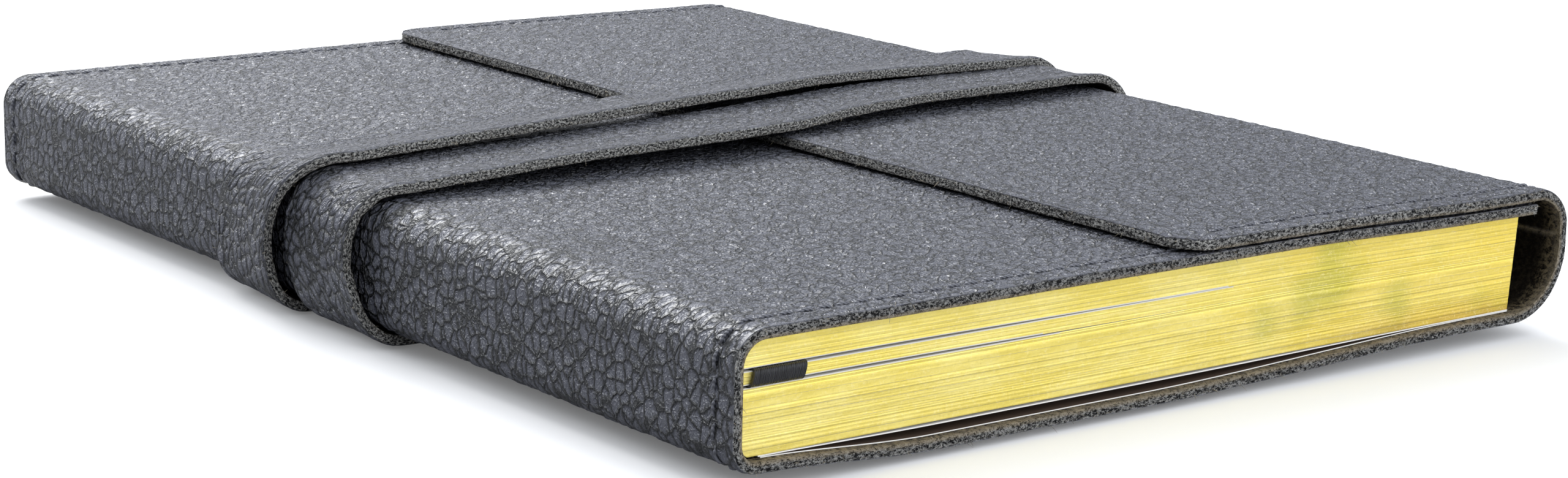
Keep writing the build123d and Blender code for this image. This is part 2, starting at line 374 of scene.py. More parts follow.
class Nodes:
    """Builds a node tree: each method adds a node and returns one of its outputs."""

    def __init__(self, tree):
        self.tree = tree

    def put(self, socket, value):
        """Connects a socket, or sets a plain value. A colour leaves out its alpha."""
        if isinstance(value, bpy.types.NodeSocket):
            self.tree.links.new(value, socket)
        elif socket.type == "RGBA":
            socket.default_value = (*value, 1.0)
        else:
            socket.default_value = value

    def fill(self, node, inputs):
        """Puts values into a node's inputs, by place or by name."""
        for key, value in inputs.items() if isinstance(inputs, dict) else enumerate(inputs):
            self.put(node.inputs[key], value)

    def add(self, kind, inputs=(), output=0, **settings):
        node = self.tree.nodes.new(kind)
        for name, value in settings.items():
            setattr(node, name, value)
        self.fill(node, inputs)
        return node.outputs[output]

    def math(self, operation, *values, clamp=False):
        return self.add("ShaderNodeMath", values, operation=operation, use_clamp=clamp)

    def times(self, a, b):
        return self.math("MULTIPLY", a, b)

    def vector(self, operation, a, b, output=0):
        return self.add("ShaderNodeVectorMath", (a, b), output, operation=operation)

    def scale(self, vector, factors):
        return self.vector("MULTIPLY", vector, factors)

    def split(self, vector):
        """The three parts of a vector."""
        return self.add("ShaderNodeSeparateXYZ", (vector,)).node.outputs[:]

    def ramp(self, value, low, high, low_out=0.0, high_out=1.0):
        """Smoothly maps value from low..high to low_out..high_out."""
        inputs = (value, low, high, low_out, high_out)
        return self.add("ShaderNodeMapRange", inputs, interpolation_type="SMOOTHSTEP")

    def mix(self, share, a, b):
        """A mix of two colours."""
        return self.add("ShaderNodeMix", {0: share, 6: a, 7: b}, 2, data_type="RGBA")

    def mix_value(self, share, a, b):
        return self.add("ShaderNodeMix", {0: share, 2: a, 3: b})

    def noise(self, vector, scale, detail, roughness, output=0):
        inputs = {"Vector": vector, "Scale": scale, "Detail": detail, "Roughness": roughness}
        return self.add("ShaderNodeTexNoise", inputs, output)

    def cells(self, vector, scale, randomness):
        """Distance to the nearest edge between cells."""
        inputs = {"Vector": vector, "Scale": scale, "Randomness": randomness}
        return self.add("ShaderNodeTexVoronoi", inputs, "Distance", feature="DISTANCE_TO_EDGE")

    def dome(self, distance, reach):
        """A round crown: 0 at a cell's edge, rising steeply and levelling out at reach."""
        share = self.math("DIVIDE", distance, reach, clamp=True)
        return self.times(share, self.math("SUBTRACT", 2.0, share))

    def stripes(self, vector, direction, scale, distortion):
        inputs = {"Vector": vector, "Scale": scale, "Distortion": distortion}
        return self.add("ShaderNodeTexWave", inputs, "Fac", bands_direction=direction)

    def attribute(self, name, output="Fac"):
        return self.add("ShaderNodeAttribute", (), output, attribute_name=name)

    def position(self):
        """Place in the row frame, in millimetres."""
        return self.scale(self.add("ShaderNodeNewGeometry", (), "Position"), (1 / MM,) * 3)

    def is_seen(self):
        """1 for what the camera sees directly, 0 for light that bounces."""
        return self.add("ShaderNodeLightPath", (), "Is Camera Ray")

    def bump(self, height, distance, normal=None):
        """A bump of a height in millimetres, on top of another normal if there is one."""
        inputs = {"Distance": distance * MM, "Height": height}
        if normal is not None:
            inputs["Normal"] = normal
        return self.add("ShaderNodeBump", inputs)


class Surface(Nodes):
    """Builds a new material."""

    def __init__(self, name):
        self.material = bpy.data.materials.new(name)
        self.material.use_nodes = True
        super().__init__(self.material.node_tree)

    def finish(self, inputs):
        """Fills the principled shader's inputs and returns the material."""
        self.fill(self.tree.nodes["Principled BSDF"], inputs)
        return self.material


def pebble_height(n, vector, coarse):
    """Height of the pebbled grain in any node tree: 0 in a crease and 1 on a crown, from fine to coarse."""
    wander = n.scale(n.noise(vector, 0.5, 3.0, 0.55, "Color"), (1.1, 1.1, 0.0))
    place = n.vector("ADD", n.scale(vector, (0.88, 1.08, 0.0)), wander)
    big = n.dome(n.cells(place, 0.48, 0.85), 0.33)
    middling = n.dome(n.cells(place, 0.5, 0.9), 0.28)
    small = n.dome(n.cells(place, 1.7, 1.0), 0.36)
    bold = n.math("MULTIPLY_ADD", small, 0.2, n.times(big, 0.8))
    quiet = n.math("MULTIPLY_ADD", small, 0.3, n.times(middling, 0.7))
    return n.mix_value(coarse, quiet, bold)


# ---- materials


def stitch_hole_shade(n, along, across):
    """Painted shade in the needle holes along both stitch rows."""
    pitches = n.math("DIVIDE", along, stitch_pitch)
    off_hole = n.math("ABSOLUTE", n.math("SUBTRACT", pitches, n.math("ROUND", pitches)))
    off_hole = n.times(off_hole, stitch_pitch)
    off_row = n.math("SUBTRACT", n.math("ABSOLUTE", across), half_length - stitch_margin)
    off_row = n.math("ABSOLUTE", off_row)
    away = n.math("SQRT", n.math("ADD", n.times(off_hole, off_hole), n.times(off_row, off_row)))
    return n.ramp(away, 0.22, 0.5, 1.0, 0.0)


def leather_material():
    """Slate leather: pebbled outside with painted shade in its creases and needle holes, pale fibres where it
    is cut, and a nap inside that is tan near edges and painted near black as shade further in.
    """
    n = Surface("slate_leather")
    place = n.attribute("leather_uv", "Vector")
    along, across, depth = n.split(place)
    coarse, grain, cut, pale, flesh = (n.attribute(a) for a in ("coarse", "grain", "cut", "pale", "flesh"))
    height = pebble_height(n, place, coarse)
    fine = n.noise(place, 3.2, 4.0, 0.65)
    blotch = n.noise(place, 0.035, 3.0, 0.6)
    crown = n.mix(blotch, (0.08, 0.084, 0.107), (0.1, 0.105, 0.132))
    crown = n.mix(n.ramp(fine, 0.4, 0.7), crown, (0.112, 0.118, 0.146))
    # Painted shade: the creases between pebbles are darkened to near black, up to a height that is higher on
    # coarse grain.
    crease = n.mix_value(coarse, 0.07, 0.26)
    skin = n.mix(n.ramp(height, crease, 0.74), (0.003, 0.004, 0.005), crown)
    # Painted shade: the needle holes are darkened to near black.
    skin = n.mix(stitch_hole_shade(n, along, across), skin, (0.004, 0.004, 0.005))
    fibre = n.noise(n.scale(place, (1.0, 1.0, 1.4)), 2.2, 4.0, 0.85)
    light = n.mix(pale, (0.42, 0.415, 0.4), (0.8, 0.79, 0.75))
    edge = n.mix(n.ramp(fibre, 0.45, 0.6), (0.014, 0.014, 0.015), light)
    below = n.ramp(depth, 0.55 * leather, 0.95 * leather)
    below = n.times(below, n.ramp(pale, 0.35, 1.0, 0.85, 0.1))
    below = n.times(below, n.ramp(fibre, 0.36, 0.52))
    edge = n.mix(below, edge, (0.5, 0.42, 0.3))
    # Painted shade: the flesh side is near black inside. Only within 4 mm of the tail and head edges does it
    # show its own tan.
    nap = n.noise(place, 1.3, 5.0, 0.8)
    suede_and_shade = n.mix(n.ramp(nap, 0.4, 0.75), (0.008, 0.006, 0.005), (0.05, 0.042, 0.03))
    brink = n.ramp(n.math("ABSOLUTE", across), half_length - 4.0, half_length - 0.3)
    suede_and_shade = n.mix(n.times(brink, n.ramp(nap, 0.4, 0.6)), suede_and_shade, (0.4, 0.325, 0.2))
    bare = n.math("ADD", cut, flesh, clamp=True)
    relief = n.times(n.math("MULTIPLY_ADD", fine, 0.16, height), grain)
    return n.finish({
        "Base Color": n.mix(flesh, n.mix(cut, skin, edge), suede_and_shade),
        "Roughness": n.mix_value(bare, n.ramp(fine, 0.3, 0.75, 0.24, 0.4), 0.95),
        "Specular IOR Level": n.mix_value(bare, 0.75, 0.1),
        "Normal": n.bump(n.times(fibre, bare), 0.9, n.bump(relief, 1.0)),
    })


def gilt_material():
    """Burnished gold on the edges of the leaves, smudged and browned in places, with painted glints in its
    brightest specks.
    """
    n = Surface("gilt_edges")
    place = n.position()
    x, _, z = n.split(place)
    lines = n.noise(n.scale(place, (0.02, 0.02, 4.2)), 1.0, 3.0, 0.7)
    mottle = n.noise(n.scale(place, (0.6, 0.6, 1.6)), 0.12, 4.0, 0.65)
    speck_and_glint = n.noise(place, 2.4, 4.0, 0.75)
    smudge = n.ramp(n.noise(place, 0.055, 2.0, 0.5), 0.52, 0.72)
    smudge = n.times(n.ramp(x, -30.0, 10.0), smudge)
    brown = n.times(n.ramp(z, base_z + 4.5, base_z), n.ramp(x, 15.0, 60.0))
    brown = n.times(brown, n.ramp(mottle, 0.3, 0.7, 0.35, 1.0))
    layers = (
        (n.times(n.ramp(x, -20.0, 60.0), 0.5), (0.84, 0.62, 0.075)),
        (n.times(smudge, 0.55), (0.46, 0.45, 0.05)),
        (n.times(brown, 0.75), (0.5, 0.25, 0.03)),
        (n.ramp(lines, 0.6, 0.8, 0.0, 0.12), (0.62, 0.47, 0.12)),
        (n.ramp(lines, 0.4, 0.28, 0.0, 0.12), (0.97, 0.9, 0.55)),
        # Painted highlights: the brightest specks are painted glints. The dark specks are the gold's own
        # texture.
        (n.ramp(speck_and_glint, 0.5, 0.72, 0.0, 0.5), (1.0, 0.9, 0.48)),
        (n.ramp(speck_and_glint, 0.45, 0.28, 0.0, 0.4), (0.66, 0.5, 0.09)),
    )
    gold = n.mix(n.ramp(mottle, 0.36, 0.66), (0.86, 0.70, 0.15), (0.93, 0.79, 0.25))
    for share, colour in layers:
        gold = n.mix(share, gold, colour)
    return n.finish({
        "Base Color": gold,
        "Metallic": 0.7,
        "Roughness": n.ramp(speck_and_glint, 0.3, 0.8, 0.48, 0.62),
        "Normal": n.bump(n.math("MULTIPLY_ADD", lines, 0.25, speck_and_glint), 0.04),
    })


def paper_material(name, colour):
    """Uncoated paper with a faint fibre texture, white where it is cut."""
    n = Surface(name)
    place = n.position()
    fibre = n.noise(place, 1.8, 5.0, 0.7)
    cloud = n.noise(place, 0.06, 2.0, 0.5)
    warm = tuple(c * f for c, f in zip(colour, (0.97, 0.94, 0.88)))
    tone = n.mix(n.ramp(fibre, 0.6, 0.8, 0.0, 0.2), n.mix(cloud, colour, warm), warm)
    tone = n.mix(n.attribute("cut"), tone, (0.9, 0.88, 0.83))
    return n.finish({"Base Color": tone, "Roughness": 0.85, "Normal": n.bump(fibre, 0.04)})


def thread_material(name, dark, light, rough):
    """Twisted thread or cord."""
    n = Surface(name)
    twist = n.stripes(n.position(), "DIAGONAL", 0.9, 1.0)
    tone = n.mix(twist, dark, light)
    return n.finish({"Base Color": tone, "Roughness": rough, "Normal": n.bump(twist, 0.08)})


def ribbon_material():
    """Black satin: fine yarns run along the ribbon and slant a little, crossed by finer ribs."""
    n = Surface("black_satin")
    inputs = {"Vector": n.attribute("leather_uv", "Vector"), "Angle": math.radians(14)}
    slant = n.add("ShaderNodeVectorRotate", inputs, rotation_type="Z_AXIS")
    along = n.noise(n.scale(slant, (0.3, 5.0, 0.0)), 1.0, 3.0, 0.7)
    yarn = n.math("MULTIPLY_ADD", along, 0.8, n.stripes(slant, "Y", 1.1, 1.2))
    return n.finish({
        "Base Color": n.mix(n.ramp(yarn, 0.5, 1.5), (0.002, 0.002, 0.003), (0.022, 0.022, 0.026)),
        "Roughness": n.ramp(along, 0.35, 0.65, 0.22, 0.4),
        "Specular IOR Level": 0.7,
        "Normal": n.bump(yarn, 0.12),
    })


def fibre_material():
    """Loose leather fibres, from grey to tan."""
    n = Surface("leather_fibres")
    shade = n.ramp(n.noise(n.position(), 0.9, 2.0, 0.6), 0.38, 0.62)
    tone = n.mix(shade, (0.16, 0.155, 0.15), (0.5, 0.43, 0.31))
    return n.finish({"Base Color": tone, "Roughness": 0.9})


def cloth_material():
    """Open-weave cotton lining."""
    n = Surface("mull_cloth")
    weave = n.cells(n.position(), 1.4, 0.0)
    tone = n.mix(n.ramp(weave, 0.05, 0.3), (0.8, 0.77, 0.68), (0.45, 0.42, 0.35))
    return n.finish({"Base Color": tone, "Roughness": 0.9, "Normal": n.bump(weave, 0.2)})


leather_look = leather_material()
gilt_look = gilt_material()
page_look = paper_material("page_paper", (0.7, 0.685, 0.64))
endpaper_look = paper_material("endpaper", (0.7, 0.69, 0.665))
# Painted shade: the pastedowns are dark brown so that the narrow gap between the leaves and the back cover
# reads as deep shade.
pastedown_shade_look = paper_material("pastedown_painted_shade", (0.075, 0.045, 0.028))
stitch_look = thread_material("stitch_thread", (0.05, 0.052, 0.063), (0.15, 0.155, 0.18), 0.45)
fibre_look = fibre_material()
cord_look = thread_material("linen_cord", (0.45, 0.4, 0.3), (0.75, 0.7, 0.58), 0.9)
ribbon_look = ribbon_material()
cloth_look = cloth_material()

# ---- pebbled leather

GRAIN_STEP = 0.55
BACK_STEP = 0.9


def pebble_tree():
    """Geometry nodes that raise the pebbled grain along the stored outward direction."""
    tree = bpy.data.node_groups.new("raise_pebbles", "GeometryNodeTree")
    for in_out in ("INPUT", "OUTPUT"):
        tree.interface.new_socket("Geometry", in_out=in_out, socket_type="NodeSocketGeometry")
    n = Nodes(tree)

    def stored(name, kind="FLOAT"):
        return n.add("GeometryNodeInputNamedAttribute", {"Name": name}, "Attribute", data_type=kind)

    height = pebble_height(n, stored("leather_uv", "FLOAT_VECTOR"), stored("coarse"))
    sunk = n.times(n.math("SUBTRACT", height, 1.0), stored("relief"))
    inputs = {0: stored("out", "FLOAT_VECTOR"), "Scale": sunk}
    offset = n.add("ShaderNodeVectorMath", inputs, operation="SCALE")
    inputs = {"Geometry": n.add("NodeGroupInput"), "Offset": offset}
    moved = n.add("GeometryNodeSetPosition", inputs)
    n.put(tree.nodes.new("NodeGroupOutput").inputs[0], moved)
    return tree


raise_pebbles = pebble_tree()


def emboss(piece, out, grain, depth, coarse):
    """Raises the grain on a leather piece, given per point of its outer face: the outward direction, where
    there is grain, how deep its creases go in millimetres and how coarse it is."""
    count = len(piece.data.vertices)
    for name, values in (("out", out), ("grain", grain), ("relief", grain * depth * MM), ("coarse", coarse)):
        values = values.reshape(-1, 3) if name == "out" else values.ravel()
        rest = np.zeros((count - len(values),) + values.shape[1:])
        set_attribute(piece, name, np.concatenate([values, rest]))
    piece.modifiers.new("raise_pebbles", "NODES").node_group = raise_pebbles
    graph = bpy.context.evaluated_depsgraph_get()
    finished = bpy.data.meshes.new_from_object(piece.evaluated_get(graph))
    piece.modifiers.clear()
    piece.data = finished


jacket = jacket_path()
half_height = (base_z + loop_bottom_radius + flap_z - loop_top_radius) / 2
spine_start = jacket.end_of(0)
spine_end = jacket.end_of(3)
loop_start = jacket.end_of(4)
loop_middle = (jacket.end_of(5) + jacket.end_of(6)) / 2
flap_start = jacket.end_of(7)
front_split = spine_end + 4.0


def flap_edge(y):
    """X of the flap's free edge along the book, slightly bowed and wavy, with rounded corners."""
    edge = flap_waist_x + flap_bow * np.abs(y) / half_length + 0.12 * waves(y, 0 * y, 38.0, 31)
    for radius, gap in ((flap_tail_corner, y + half_length), (flap_head_corner, half_length - y)):
        inset = np.clip(radius - gap, 0, radius)
        edge = edge + radius - np.sqrt(radius**2 - inset**2)
    return edge


def page_dip(x):
    """How far the top of the block settles towards its fore-edge, where no folds fill it."""
    return fore_dip * smooth(15.0, cover_end_x, x)


def sag(x, y):
    """How far the back cover hangs below the block, most at its tail edge and half as far at its head."""
    span = smooth(spine_x + 1, spine_x + 32, x) * smooth(spine_x + 138, spine_x + 70, x)
    return 1.5 * span * (smooth(-30.0, -half_length, y) + 0.5 * smooth(45.0, half_length, y))


def flap_dip(x, y, z):
    """How far the flap and the top of the loop sink towards the fore-edge."""
    share = smooth(half_height, flap_z, z)
    return share * smooth(22.0, 70.0, x) * (0.45 + 0.3 * smooth(-55.0, -half_length, y))


def drape(x, y, z, s):
    """Small natural departures of the jacket from its flat pattern."""
    uneven = 0.12 * waves(x, y, 55.0, 11)
    under = (s > spine_end) & (s < loop_start + 2)
    on_flap = s > loop_middle
    on_cover = s < spine_start
    pressed_by_strap = 1 - hump(y, 6, 24)
    curl = 0.38 * smooth(flap_waist_x + 8, flap_waist_x, x) * (0.25 + 0.75 * pressed_by_strap)
    z = z - np.where(under, sag(x, y), 0)
    z = z - np.where(on_cover, page_dip(x) - np.minimum(uneven, 0), 0)
    z = z + np.where(on_flap, curl + np.abs(uneven) - flap_dip(x, y, z), 0)
    return np.stack([x, y, z], -1)


def jacket_sheet(name, start, end, step, open_ends):
    """One stretch of the jacket between two distances along its path, and its rim."""
    rows = max(3, int(round((end - start) / step)) + 1)
    s = np.linspace(start, end, rows)
    y = across_samples(-half_length, half_length, GRAIN_STEP)
    s, y = np.meshgrid(s, y, indexing="ij")
    x, z, nx, nz = jacket.at(s)
    if end > flap_start:
        flat_run = jacket_right - loop_top_radius
        stretch = (flat_run - flap_edge(y)) / (flat_run - flap_waist_x)
        beyond = np.maximum(s - flap_start, 0) * (stretch - 1)
        x = x - beyond
        s = s + beyond
    gap = half_length - np.abs(y)
    y_wavy = y + np.sign(y) * 0.14 * waves(s, np.sign(y) * 40, 33.0, 7) * smooth(9, 0, gap)
    ends_gap = np.full_like(s, 99.0)
    if open_ends[0]:
        ends_gap = s - start
    if open_ends[1]:
        ends_gap = s.max(0)[None] - s
    edge_gap = np.minimum(gap, ends_gap)
    on_spine = smooth(spine_start - 9, spine_start + 2, s) * smooth(spine_end + 8, spine_end, s)
    on_loop = smooth(loop_start - 4, loop_start + 3, s) * smooth(flap_start + 6, flap_start - 2, s)
    stitch_groove = 0.2 * hump(gap, stitch_margin, 0.6)
    turn_in_groove = 0.16 * on_spine * hump(gap, stitch_margin + 3.4, 0.8)
    depth = leather - stitch_groove - turn_in_groove - edge_wear(edge_gap, 0.24)
    inner = drape(x, y_wavy, z, s)
    outer = drape(x + nx * depth, y_wavy, z + nz * depth, s)
    uv = np.stack([s, y, np.zeros_like(s)], -1)
    pale = np.where(ends_gap < 1, 1.0, 0.3 + 0.3 * smooth(flap_start, flap_start + 20, s))
    piece, rim = slab(name, outer, inner, uv, 6, pale, 0.07, open_ends=open_ends)
    normal = np.stack([nx, np.zeros_like(nx), nz], -1)
    coarse = np.maximum(on_spine, 0.6 * on_loop)
    emboss(piece, normal, smooth(-0.1, 0.5, edge_gap), 0.26 + 0.04 * on_spine, coarse)
    return finish(piece, leather_look), rim


# ---- stitching


def stitch_row(start, end, y):
    """Points and faces of a row of sunk stitches along the jacket."""
    length, radius, sides, steps = 2.45, 0.27, 6, 6
    points, faces = [], []
    first, last = math.ceil(start / stitch_pitch), math.floor(end / stitch_pitch)
    t = np.linspace(-1, 1, steps + 1)
    girth = radius * (0.45 + 0.55 * np.sqrt(np.maximum(0.0, 1 - t**4)))[:, None]
    turn = 2 * math.pi * np.arange(sides) / sides
    for k in range(first, last):
        s = (k + 0.5) * stitch_pitch + t * length / 2 + rng.normal(0, 0.04)
        x, z, nx, nz = jacket.at(s)
        crown = leather - 0.1 - 0.34 * np.abs(t) ** 3
        y_line = y + 0.1 * t + rng.normal(0, 0.04)
        placed = drape(x + nx * crown, y + 0 * x, z + nz * crown, s)
        ring_x = placed[:, [0]] + nx[:, None] * np.cos(turn) * girth
        ring_y = y_line[:, None] + np.sin(turn) * girth
        ring_z = placed[:, [2]] + nz[:, None] * np.cos(turn) * girth
        base = len(points)
        points += np.stack([ring_x, ring_y, ring_z], -1).reshape(-1, 3).tolist()
        for j in range(steps):
            for i in range(sides):
                a, b = base + j * sides + i, base + j * sides + (i + 1) % sides
                faces.append((a, b, b + sides, a + sides))
        faces.append(tuple(base + i for i in reversed(range(sides))))
        faces.append(tuple(base + steps * sides + i for i in range(sides)))
    return points, faces


def stitching(name, start, end):
    """The stitch rows at the tail and head of one stretch of the jacket."""
    points, faces = [], []
    for side in (-1, 1):
        some, shape = stitch_row(start, end, side * (half_length - stitch_margin))
        faces += [tuple(i + len(points) for i in face) for face in shape]
        points += some
    return finish(mesh_object(name, points, faces), stitch_look)


# ---- jacket


def make_panel(side, sheet, edge, stitches, leather_nodes, thread_nodes):
    """A panel of the jacket with its loose fibres and stitching. sheet, edge and stitches hold what
    jacket_sheet, fuzz and stitching need."""
    leather_piece, rim = jacket_sheet("jacket_" + side, *sheet)
    fibres = fuzz("fuzz_" + side, rim, *edge)
    thread = stitching("stitching_" + side, *stitches)
    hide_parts(*leather_nodes)
    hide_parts(*thread_nodes)
    for piece in (leather_piece, fibres, thread):
        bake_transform(piece)


make_panel(
    "front",
    sheet=(0.0, front_split, GRAIN_STEP, (True, False)),
    edge=(0.42, 0.34, 101),
    stitches=(2.0, front_split),
    leather_nodes=("front_cover", "spine_cover"),
    thread_nodes=("front_cover_stitching", "spine_stitching"),
)
make_panel(
    "back",
    sheet=(front_split, loop_middle, BACK_STEP, (False, False)),
    edge=(0.36, 0.42, 102),
    stitches=(front_split, loop_middle),
    leather_nodes=("back_cover",),
    thread_nodes=("back_cover_stitching",),
)
make_panel(
    "flap",
    sheet=(loop_middle, jacket.length, GRAIN_STEP, (False, True)),
    edge=(0.4, 0.34, 103),
    stitches=(loop_middle, jacket.length - 9.0),
    leather_nodes=("flap", "fore_edge_wall"),
    thread_nodes=("flap_stitching", "fore_edge_stitching"),
)

# ---- strap

STRAP_GAP = 0.05
STRAP_WIDTH = 20.0
START_X = -30.0
END_X = 25.0
STRETCHES_PER_TURN = 9
STRAP_UV_SHIFT = 700.0


def strap_path():
    """Inner face of the strap, from its end under the spine side twice round the book to its other end."""
    d = leather + STRAP_GAP
    path = Path(leather / 2)
    st, sb, lb, lt = (radius + d for radius in corner_radii)
    c_st, c_sb, c_lb, c_lt = corner_centres
    flap_x = flap_waist_x + 1.5
    rise, run = flap_z + d - c_st[1], flap_x - c_st[0]
    touch = math.atan2(rise, run) + math.acos(st / math.hypot(rise, run))
    touch_point = (c_st[0] + st * math.cos(touch), c_st[1] + st * math.sin(touch))
    path.line((START_X, base_z - d), (c_sb[0], base_z - d), (0, -1))
    for end_x in (c_sb[0], END_X):
        path.arc(c_sb, sb, 270, 180)
        path.line((c_sb[0] - sb, c_sb[1]), (c_sb[0] - sb, c_st[1]), (-1, 0))
        path.arc(c_st, st, 180, math.degrees(touch))
        path.line(touch_point, (flap_x, flap_z + d), (math.cos(touch), math.sin(touch)))
        path.line((flap_x, flap_z + d), (c_lt[0], flap_z + d), (0, 1))
        path.arc(c_lt, lt, 90, 0)
        path.line((c_lt[0] + lt, c_lt[1]), (c_lt[0] + lt, c_lb[1]), (1, 0))
        path.arc(c_lb, lb, 0, -90)
        path.line((c_lb[0], base_z - d), (end_x, base_z - d), (0, -1))
    return path


def strap_stations(path, turn):
    """Distances along the strap at the landmarks of one turn."""
    first = STRETCHES_PER_TURN * turn
    names = "start spine_low spine_high top flap fore_top fore_high fore_low fore_bottom next"
    stations = {name: path.end_of(first + k) for k, name in enumerate(names.split())}
    stations["spine"] = (stations["spine_low"] + stations["spine_high"]) / 2
    return stations


def smooth_line(stations, s, reach):
    """Values between (place, value) stations, rounded off over a reach, as one column."""
    places, values = zip(*stations)
    spread = np.linspace(-1, 1, 15)
    weights = 1 + np.cos(math.pi * spread)
    total = sum(w * np.interp(s + reach * t, places, values) for w, t in zip(weights, spread))
    return (total / weights.sum())[:, None]


def strap_course(one, two, s):
    """Y of the strap's near edge: it wanders up the book, and the second turn lies beyond the first."""
    stations = [
        (0, -26.0), (one["start"], -21.6), (one["spine_low"], -19.2), (one["spine"], -15.2),
        (one["spine_high"], -16.8), (one["top"], -19.4), (one["flap"], -18.2), (one["flap"] + 10, -15.6),
        (one["flap"] + 32, -12.0), (one["fore_top"], -8.4), (one["fore_bottom"], -8.2),
        (two["start"], 4.8), (two["spine"], 5.4), (two["spine_high"], 3.6), (two["top"], -3.2),
        (two["flap"] - 36, -1.6), (two["flap"] + 4, 1.4), (two["flap"] + 20, 4.6), (two["flap"] + 38, 7.8),
        (two["fore_top"], 8.6), (two["fore_bottom"], 9.8), (s[-1], 12.0),
    ]
    return smooth_line(stations, s, 7.0)


def strap_lift(one, two, s):
    """How far the near edge stands off the book; the second turn rides on the margin of the first."""
    stations = [
        (one["start"], 0.1), (one["spine"], 1.35), (one["top"], 0.6), (one["top"] + 30, 1.3),
        (one["flap"], 0.9), (one["flap"] + 12, 1.3), (one["flap"] + 34, 1.6), (one["fore_top"] - 6, 1.4),
        (one["fore_high"], 0.2), (two["start"], 0.2), (two["spine"], 3.1), (two["top"], 2.6),
        (two["flap"] - 40, 2.9), (two["flap"] + 22, 2.8), (two["flap"] + 40, 2.2),
        (two["fore_top"], 1.6), (two["fore_low"], 0.2),
    ]
    return smooth_line(stations, s, 5.0)


def make_strap():
    """One strip wound twice round the book, creased where it bends."""
    path = strap_path()
    one, two = strap_stations(path, 0), strap_stations(path, 1)
    s = np.linspace(0, path.length, int(path.length / 0.7))
    near, height = strap_course(one, two, s), strap_lift(one, two, s)
    taper = np.interp(s, [one["next"] - 5, one["next"] + 5], [8.0, 17.0])[:, None]
    s, w = np.meshgrid(s, across_samples(0, STRAP_WIDTH, 0.6, 2.0), indexing="ij")
    x, z, nx, nz = path.at(s)
    bend = hump(s, one["top"] - 6, 9) + 0.6 * hump(s, one["spine"], 6)
    crease = np.sin(2 * math.pi * (w + 0.9 * (s - one["top"])) / 3.4)
    uneven = 0.14 * np.abs(waves(s, w, 26.0, 21)) * (nz > -0.5)
    rise = height * np.clip(1 - w / taper, 0, 1) ** 1.25 + uneven + 0.07 * bend * (1 + crease)
    y = near + w + 0.16 * waves(s, w, 24.0, 5)
    gap = np.minimum(np.minimum(w, STRAP_WIDTH - w), np.minimum(s, path.length - s))
    depth = rise + leather - edge_wear(gap, 0.25)
    drop = flap_dip(x, y, z - leather)
    inner = np.stack([x + nx * rise, y, z + nz * rise - drop], -1)
    outer = np.stack([x + nx * depth, y, z + nz * depth - drop], -1)
    uv = np.stack([s + STRAP_UV_SHIFT, w, 0 * s], -1)
    piece, rim = slab("wrap_strap", outer, inner, uv, 3, 1.0, 0.07)
    on_spine = np.clip(-nx, 0, 1)
    normal = np.stack([nx, 0 * nx, nz], -1)
    emboss(piece, normal, smooth(-0.1, 0.5, gap), 0.18 + 0.08 * on_spine, 0.25 + 0.75 * on_spine)
    finish(piece, leather_look, ["strap"], "wrap_strap")
    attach(fuzz("fuzz_strap", rim, 0.45, 0.3, 104), "wrap_strap")


make_strap()

# ---- leaves

RIBBON_GAP = 0.36
OPENING_NUMBERS = {4: "below", 5: "above", 6: "below", 7: "above"}
BARE_EDGE = 0.13
SECTION_ROWS = 7
SECTION_COLUMNS = 140
GILT, PAPER = 0, 1       # places of a section's two materials


def settle(x, z):
    """Leaves settle towards the fore-edge, the more the higher they lie."""
    return z - page_dip(x) * (z - base_z) / (top_z - base_z)


def spine_edge(z):
    """X of the block's rounded spine at a height."""
    top_inset = np.clip(z - (top_z - spine_top_radius), 0, spine_top_radius)
    low_inset = np.clip(base_z + spine_bottom_radius - z, 0, spine_bottom_radius)
    top_part = spine_top_radius - np.sqrt(spine_top_radius**2 - top_inset**2)
    low_part = spine_bottom_radius - np.sqrt(spine_bottom_radius**2 - low_inset**2)
    return spine_x + top_part + low_part


def section_faces(end_looks):
    """Faces of a section's tail, head, top, bottom, fore-edge and spine, and the look of each face."""
    grid = np.arange(SECTION_ROWS * SECTION_COLUMNS).reshape(SECTION_ROWS, SECTION_COLUMNS)
    other = grid + grid.size
    faces, looks = [], []
    for quads, look in (
        (grid_quads(grid)[..., [0, 3, 2, 1]], end_looks),
        (grid_quads(other), end_looks),
        (grid_quads(np.stack([grid[-1], other[-1]], 1)), PAPER),
        (grid_quads(np.stack([grid[0], other[0]])), PAPER),
        (grid_quads(np.stack([grid[:, -1], other[:, -1]])), GILT),
        (grid_quads(np.stack([grid[:, 0], other[:, 0]], 1)), PAPER),
    ):
        faces += quads.reshape(-1, 4).tolist()
        looks += np.broadcast_to(look, quads.shape[:-1]).ravel().tolist()
    return faces, looks


